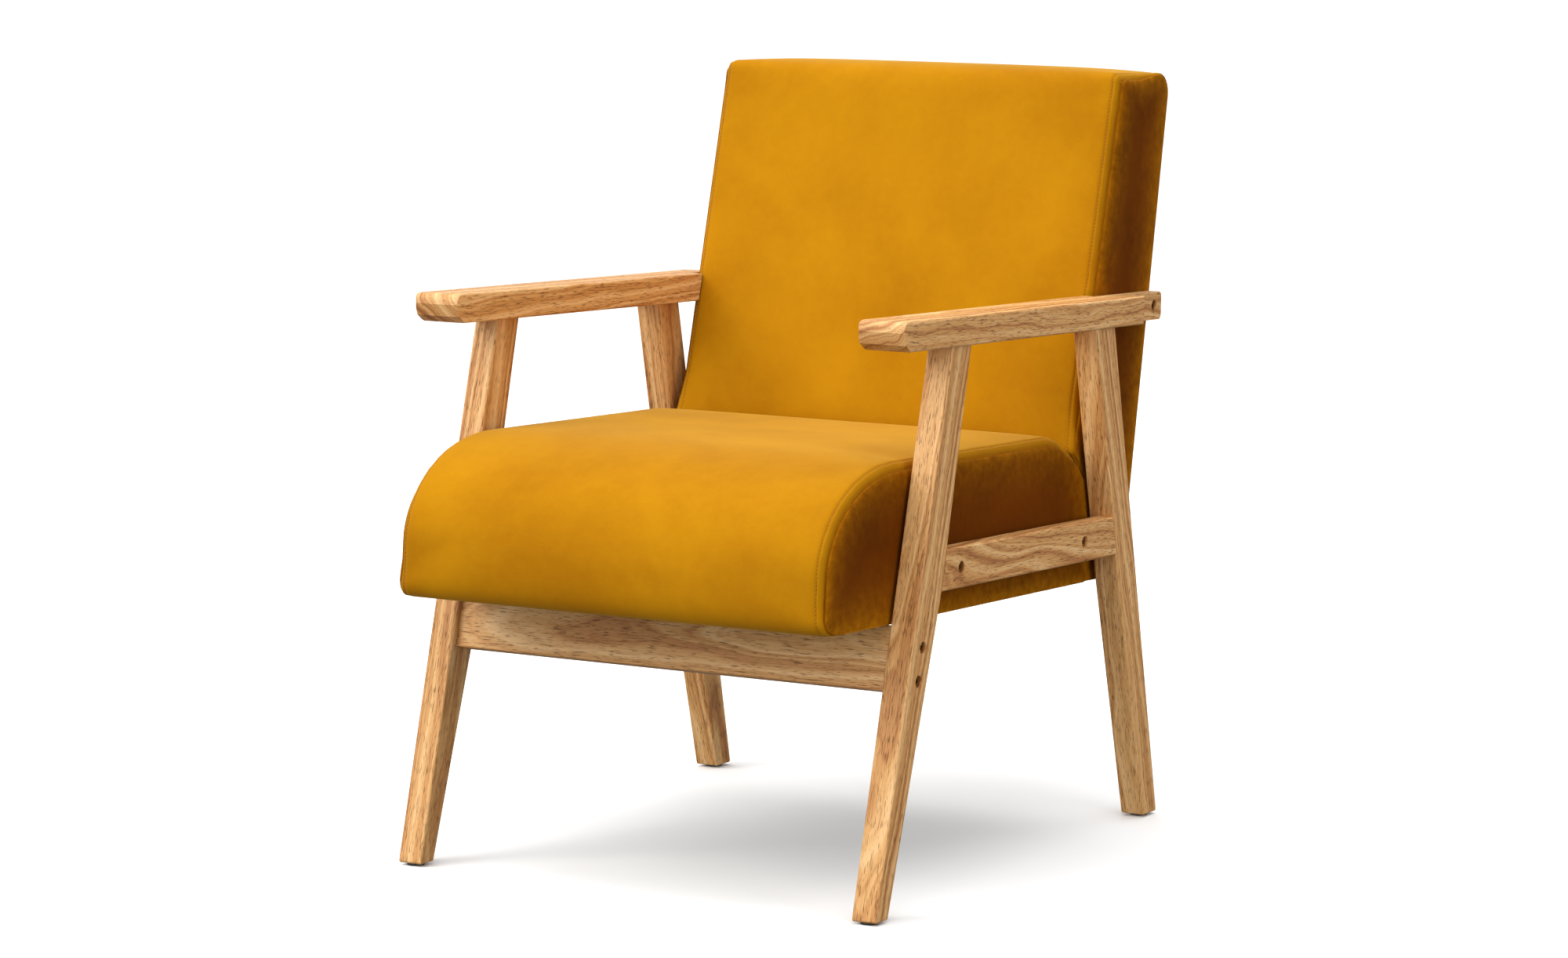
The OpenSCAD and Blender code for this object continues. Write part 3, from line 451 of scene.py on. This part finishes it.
def cushion(name, panel, spine, pinned, recess, soft):
    """A closed padded block: bands across the outline, and side panels gathered to a spine."""
    points = outline_of(panel)
    normals = outward(points)
    softness = softened(points, soft)
    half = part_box(panel)[1].x
    spine_a, spine_b = (Vector(p) for p in spine)
    spine_dir = (spine_b - spine_a).normalized()
    spine_steps = round((spine_b - spine_a).length / SPINE_STEP)
    edge = [s * MM for s, _ in BAND_EDGE]
    heights = [h * MM for _, h in BAND_EDGE]
    middle_steps = round(2 * (half - edge[-1]) / COLUMN)
    columns = [(half - s, h) for s, h in zip(edge, heights)]
    columns += [(half - edge[-1] - 2 * (half - edge[-1]) * i / middle_steps, 0)
                for i in range(1, middle_steps)]
    columns += [(-half + s, h) for s, h in reversed(list(zip(edge, heights)))]
    mesh = bmesh.new()
    pin = mesh.verts.layers.deform.verify()
    seam_shade_and_highlight = mesh.verts.layers.float.new("seam_shade_and_highlight")
    rows = []
    for i, (point, normal) in enumerate(zip(points, normals)):
        row = []
        for x, height in columns:
            from_seam = half - abs(x)
            fall = rounded(from_seam, SHOULDER, SHOULDER_DROP * softness[i])
            pull = noise.noise(Vector((i * ROW / PUCKER_PITCH, math.copysign(PUCKER_ROW, x), 0)))
            fade = math.exp(-((from_seam - STITCH_INSET / 2) / STITCH_INSET) ** 2)
            height = (height + PUCKER * pull * fade) * relief(softness[i]) - fall
            place = point + normal * (height + recess(x, point))
            sewn_x = x - math.copysign(drawn_in(from_seam, softness[i]), x)
            vert = mesh.verts.new((sewn_x, place.x, place.y))
            # Painted crease shade on the band: strongest at the seam and along the line of
            # stitching
            sewn = math.exp(-(from_seam / SEAM_SHADE_WIDTH) ** 2)
            stitched = math.exp(-((from_seam - STITCH_INSET) / SEAM_SHADE_WIDTH) ** 2)
            vert[seam_shade_and_highlight] = sewn + STITCH_SHADE_SHARE * stitched
            vert[pin][0] = 1.0 if from_seam <= PINNED_EDGE else pinned(point, normal)
            row.append(vert)
        rows.append(row)
    for side, sign in ((0, 1), (-1, -1)):
        previous = [row[side] for row in rows]
        depths = [(d * MM, b * MM) for d, b in SIDE_EDGE]
        for ring in range(len(depths) + len(GATHER)):
            current = []
            for i, point in enumerate(points):
                share = (point - spine_a).dot(spine_dir) / (spine_b - spine_a).length
                share = min(1, max(0, round(share * spine_steps) / spine_steps))
                centre = spine_a.lerp(spine_b, share)
                reach = centre - point
                if ring < len(depths):
                    depth, bulge = depths[ring]
                    fall = SHOULDER_DROP * softness[i]
                    place = point + reach.normalized() * (depth + fall)
                    bulge -= rounded(depth, SIDE_SHOULDER, SIDE_DROP * softness[i])
                else:
                    start = (depths[-1][0] + SHOULDER_DROP * softness[i]) / reach.length
                    amount = GATHER[ring - len(depths)]
                    place = point.lerp(centre, start + (1 - start) * amount)
                    bulge = 0
                vert = mesh.verts.new((sign * (half + bulge), place.x, place.y))
                vert[pin][0] = 1.0 if ring < HELD_RINGS else PANEL_HOLD
                # Painted highlight on the side panel, fading away from the seam
                vert[seam_shade_and_highlight] = math.exp(-(place - point).length / SEAM_HIGHLIGHT_REACH)
                current.append(vert)
            for i in range(len(points)):
                j = (i + 1) % len(points)
                # Side panel faces take the velvet copy darkened with painted shade
                panel_face = mesh.faces.new((previous[i], previous[j], current[j], current[i]))
                panel_face.material_index = 1
            previous = current
    for i in range(len(points)):
        lower, upper = rows[i], rows[(i + 1) % len(points)]
        for j in range(len(columns) - 1):
            mesh.faces.new((lower[j], lower[j + 1], upper[j + 1], upper[j]))
    bmesh.ops.remove_doubles(mesh, verts=mesh.verts, dist=SEAM_WELD)
    bmesh.ops.dissolve_degenerate(mesh, edges=mesh.edges, dist=WELD)
    bmesh.ops.recalc_face_normals(mesh, faces=mesh.faces)
    data = bpy.data.meshes.new(name)
    mesh.to_mesh(data)
    mesh.free()
    piece = bpy.data.objects.new(name, data)
    bpy.context.collection.objects.link(piece)
    piece.vertex_groups.new(name="pinned")
    return piece, points, normals, softness


SWELL = 5 * MM              # the most that the cloth may move from its pattern
PRESSURE, SIMULATED_FRAMES = 4.0, 20


def inflate(piece):
    """Fills the cover like foam: the cloth swells under pressure and is held at its seams."""
    before = np.array([v.co for v in piece.data.vertices])
    bpy.ops.object.select_all(action="DESELECT")
    bpy.context.view_layer.objects.active = piece
    piece.select_set(True)
    bpy.ops.object.modifier_add(type="CLOTH")
    cloth = piece.modifiers["Cloth"]
    cloth.settings.use_pressure = True
    cloth.settings.uniform_pressure_force = PRESSURE
    cloth.settings.effector_weights.gravity = 0
    cloth.settings.vertex_group_mass = "pinned"
    cloth.settings.quality = 4
    cloth.settings.tension_stiffness = 20
    cloth.settings.compression_stiffness = 20
    cloth.settings.bending_stiffness = 1.5
    cloth.point_cache.frame_start, cloth.point_cache.frame_end = 1, SIMULATED_FRAMES
    for frame_number in range(1, SIMULATED_FRAMES + 1):
        bpy.context.scene.frame_set(frame_number)
    bpy.ops.object.modifier_apply(modifier="Cloth")
    after = np.array([v.co for v in piece.data.vertices])
    moved = after - before
    length = np.linalg.norm(moved, axis=1, keepdims=True) + 1e-9
    kept = SWELL * np.tanh(length / SWELL)
    piece.data.vertices.foreach_set("co", (before + moved / length * kept).ravel())
    piece.data.update()
    bpy.context.scene.frame_set(1)


def dress(piece):
    """The band velvet and its darker copy in painted shade for the side panels, and smooth
    shading.
    """
    piece.data.materials.append(velvet_band)
    piece.data.materials.append(velvet_side_painted_shade)
    for polygon in piece.data.polygons:
        polygon.use_smooth = True
    piece.vertex_groups.clear()


# The seat's own frame, found from its front member: u runs back along the underside, w up
slope_up = Vector((0, math.sin(SLOPE), math.cos(SLOPE)))
MEMBER_FRONT, MEMBER_REAR, MEMBER_LOW = 45 * MM, 67 * MM, 3 * MM
member_low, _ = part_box("seat_front_member")
seat_y = member_low.y - MEMBER_FRONT * slope_back.y - MEMBER_LOW * slope_up.y
seat_z = member_low.z - MEMBER_REAR * slope_back.z - MEMBER_LOW * slope_up.z


def seat_point(u, w):
    """A side-view point [y, z] from the seat's own frame."""
    place = slope_back * u + slope_up * w
    return Vector((seat_y + place.y, seat_z + place.z))


def seat_uw(point):
    """The seat-frame place of a side-view point."""
    offset = Vector((0, point.x - seat_y, point.y - seat_z))
    return offset.dot(slope_back), offset.dot(slope_up)


COVER = 3 * MM                                      # how thick the cover is
DUST_FRONT, DUST_REAR = 85 * MM, 612 * MM           # the dust cover's u, front and rear
DUST_RECESS = 3.4 * MM
SEAT_WALL, SEAT_WALL_TOP = 610 * MM, 90 * MM        # the rear wall's u, and how high it goes
SEAT_FOAM_LOW, SEAT_FOAM_REAR = 6 * MM, 590 * MM    # where the free foam starts and ends
SPINE_FRONT, SPINE_REAR, SPINE_HIGH = 88 * MM, 531 * MM, 88 * MM    # u at both ends, and w
seat_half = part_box("seat_side_panel_left")[1].x


def seat_recess(x, point):
    """The underside is left open for the dust cover, so it lies in a shallow recess."""
    u, w = seat_uw(point)
    inside = w < MM and DUST_FRONT < u < DUST_REAR and abs(x) < seat_half - COVER
    return -DUST_RECESS if inside else 0


def seat_pinned(point, _):
    """The underside and the rear wall are stretched over the frame; the rest is free."""
    u, w = seat_uw(point)
    return 1.0 if w < MM or (u > SEAT_WALL and w < SEAT_WALL_TOP) else 0.0


def seat_soft(point):
    """The nose and top are all foam; the underside is pulled over the frame."""
    u, w = seat_uw(point)
    return 0.0 if w < SEAT_FOAM_LOW or u > SEAT_FOAM_REAR else 1.0


seat_cushion, seat_rim, seat_normals, seat_softness = cushion(
    "seat_cushion", "seat_side_panel_left",
    (seat_point(SPINE_FRONT, SPINE_HIGH), seat_point(SPINE_REAR, SPINE_HIGH)),
    seat_pinned, seat_recess, seat_soft)
inflate(seat_cushion)
dress(seat_cushion)
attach(seat_cushion, "root")
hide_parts("seat_cover", "seat_side_panel_left", "seat_side_panel_right",
            "seat_foam")

# ---------------------------------------------------------------------------------------
# Backrest cushion: the same construction on a wedge, thinner at its foot, with soft top
# corners. Its lower front is hollowed to sit against the seat's rounded rear.
back_low, back_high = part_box("back_side_panel_left")
back_half = back_high.x
BACK_SPINE = ((0.252, 0.345), (0.352, 0.822))       # up the cushion's middle: [y, z]
SPINE_LEAN = 0.21                                   # y for each z
BACK_DUST_FRONT, BACK_DUST_REAR = 626 * MM, 717 * MM
BACK_REAR_FREE = 60 * MM                            # at the top of the rear, not pinned
BACK_FOOT, BACK_FOAM_LOW = 150 * MM, 190 * MM       # heights of the pinned foot and of the foam
REAR_FACING, REAR_HOLD = 0.6, 0.9


def back_recess(x, point):
    """The foot has the same shallow recess for its own dust cover."""
    u, w = seat_uw(point)
    inside = w < MM and BACK_DUST_FRONT < u < BACK_DUST_REAR and abs(x) < back_half - COVER
    return -DUST_RECESS if inside else 0


def back_pinned(point, normal):
    """The foot and the rear are pulled tight over the frame; the front is free."""
    if normal.x > REAR_FACING and point.y < back_high.z - BACK_REAR_FREE:
        return REAR_HOLD
    return 1.0 if point.y < back_low.z + BACK_FOOT else 0.0


def back_soft(point):
    """Foam fills the front; the foot and the rear are pulled over the frame."""
    middle_y = BACK_SPINE[0][0] + (point.y - BACK_SPINE[0][1]) * SPINE_LEAN
    return 1.0 if point.x < middle_y and point.y > back_low.z + BACK_FOAM_LOW else 0.0


back_cushion, back_rim, back_normals, back_softness = cushion(
    "back_cushion", "back_side_panel_left", BACK_SPINE, back_pinned, back_recess, back_soft)
inflate(back_cushion)
dress(back_cushion)
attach(back_cushion, "root")
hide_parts("back_cover", "back_side_panel_left", "back_side_panel_right",
            "back_foam", "back_wadding")

# ---------------------------------------------------------------------------------------
# Topstitching: one run of mustard thread along each seam, at 9 mm from it. Each stitch is a
# short loop of thread that sinks into the pile at both ends.
STITCH_PITCH = 4.4 * MM
STITCH_LENGTH = 3.3 * MM
THREAD = 0.75 * MM
STITCH_SINK = 0.75 * MM
STITCH_TAPER, STITCH_DIP = 0.6, 0.45 * MM           # at both ends of a stitch


def stitching(name, points, normals, softness, half):
    """All the stitches of one cushion, copied from one small modelled stitch."""
    bpy.ops.mesh.primitive_cylinder_add(vertices=6, radius=THREAD / 2, depth=STITCH_LENGTH)
    stitch = bpy.context.object
    bpy.ops.object.mode_set(mode="EDIT")
    bpy.ops.mesh.select_all(action="SELECT")
    bpy.ops.mesh.bisect(plane_co=(0, 0, 0), plane_no=(0, 0, 1))
    bpy.ops.object.mode_set(mode="OBJECT")
    for vert in stitch.data.vertices:
        if abs(vert.co.z) > STITCH_LENGTH / 4:
            vert.co.x = vert.co.x * STITCH_TAPER - STITCH_DIP
            vert.co.y *= STITCH_TAPER
    model = stitch.data.copy()
    bpy.data.objects.remove(stitch)
    mesh = bmesh.new()
    lengths = [(b - a).length for a, b in zip(points, points[1:] + points[:1])]
    total = sum(lengths)
    count = int(total / STITCH_PITCH)
    for sign in (1, -1):
        at, walked = 0, 0.0
        for i in range(count):
            want = total * i / count
            while walked + lengths[at] < want:
                walked += lengths[at]
                at += 1
            share = (want - walked) / lengths[at]
            following = (at + 1) % len(points)
            spot = points[at].lerp(points[following], share)
            out = normals[at].lerp(normals[following], share).normalized()
            along = Vector((0, -out.y, out.x))
            away = Vector((0, out.x, out.y))
            across = along.cross(away)
            turn = Matrix((away, across, along)).transposed().to_4x4()
            fall = rounded(STITCH_INSET, SHOULDER, SHOULDER_DROP * softness[at])
            centre = spot + out * (-STITCH_SINK * relief(softness[at]) - fall)
            stitch_x = sign * (half - STITCH_INSET - drawn_in(STITCH_INSET, softness[at]))
            shift = Matrix.Translation((stitch_x, centre.x, centre.y))
            copy = model.copy()
            copy.transform(shift @ turn)
            mesh.from_mesh(copy)
            bpy.data.meshes.remove(copy)
    bmesh.ops.recalc_face_normals(mesh, faces=mesh.faces)
    data = bpy.data.meshes.new(name)
    mesh.to_mesh(data)
    mesh.free()
    piece = bpy.data.objects.new(name, data)
    bpy.context.collection.objects.link(piece)
    for polygon in data.polygons:
        polygon.use_smooth = True
    return piece


# Polyester thread: a tight twist, smoother and a little shinier than the pile beside it
thread, tree, shader, coordinates = new_material("mustard_thread")
mottle(tree, shader, coordinates, 0.8 * MM, [(0.3, "9a6206"), (0.7, "c98d1a")])
shader.inputs["Roughness"].default_value = 0.55
for stitched, *sewn in (
        ("seat_topstitching", seat_rim, seat_normals, seat_softness, seat_half),
        ("back_topstitching", back_rim, back_normals, back_softness, back_half)):
    run = stitching(stitched, *sewn)
    paint(run, thread)
    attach(run, "root")

# ---------------------------------------------------------------------------------------
# Studio: a pale floor, a soft key from the front left, light from above, and a weak fill.
# The floor throws no light back up, which keeps the undersides in soft shade.
floor_paint, tree, shader, coordinates = new_material("pale_floor_paint")
FLOOR_CLOUD = 1 / 1.5       # metres across each faint cloud of tone
mottle(tree, shader, coordinates, FLOOR_CLOUD, [(0.3, "fafafa"), (0.7, "fdfdfd")])
shader.inputs["Roughness"].default_value = 0.9
bpy.ops.mesh.primitive_plane_add(size=400)
floor = bpy.context.object
floor.name = "studio_floor"
floor.visible_diffuse = False
floor.visible_glossy = False
paint(floor, floor_paint)


def area_light(name, place, target, size, watts, hex_colour):
    """A square soft box aimed at a point."""
    bpy.ops.object.light_add(type="AREA", location=place)
    light = bpy.context.object
    light.name = name
    light.data.shape, light.data.size = "SQUARE", size
    light.data.energy = watts
    light.data.color = linear(hex_colour)[:3]
    aim = Vector(target) - Vector(place)
    light.rotation_euler = aim.to_track_quat("-Z", "Y").to_euler()


area_light("key", (-2.6, -2.7, 3.0), (0, 0, 0.55), 2.0, 68, "fffaf2")
area_light("overhead", (0, 0.4, 5.0), (0, 0, 0), 5.0, 120, "ffffff")
area_light("fill", (3.7, -1.0, 0.9), (0, 0, 0.25), 1.6, 34, "ffffff")

# Soft light all round: brightest from the front left, and dim from below the floor line
GLOW_FROM = Vector((-0.5, -0.62, 0.6))
world = bpy.data.worlds.new("studio")
bpy.context.scene.world = world
world.use_nodes = True
sky = world.node_tree
direction = sky.nodes.new("ShaderNodeTexCoord").outputs["Generated"]
toward = add(sky, "ShaderNodeVectorMath", {0: direction, 1: GLOW_FROM.normalized()},
             operation="DOT_PRODUCT")
glow = add(sky, "ShaderNodeMapRange", {"Value": toward.outputs["Value"], "From Min": -0.2,
                                       "From Max": 1.0, "To Min": 0.55, "To Max": 1.9})
height = add(sky, "ShaderNodeSeparateXYZ", {0: direction})
above = add(sky, "ShaderNodeMapRange", {"Value": height.outputs["Z"], "From Min": -0.15,
                                        "From Max": 0.1, "To Min": 0.35})
strength = add(sky, "ShaderNodeMath", {0: glow.outputs[0], 1: above.outputs[0]},
               operation="MULTIPLY")
sky.links.new(strength.outputs[0], sky.nodes["Background"].inputs["Strength"])
sky.nodes["Background"].inputs["Color"].default_value = linear("ffffff")
bpy.context.scene.view_settings.view_transform = "Standard"

AZIMUTH, ELEVATION = math.radians(30.02), math.radians(8.08)
bpy.ops.object.camera_add(location=(2.852, -4.962, 1.232))
camera = bpy.context.object
camera.rotation_euler = Euler((math.pi / 2 - ELEVATION, 0, AZIMUTH))
camera.data.sensor_width = 36
camera.data.lens = 114.93
camera.data.clip_end = 100
bpy.context.scene.camera = camera
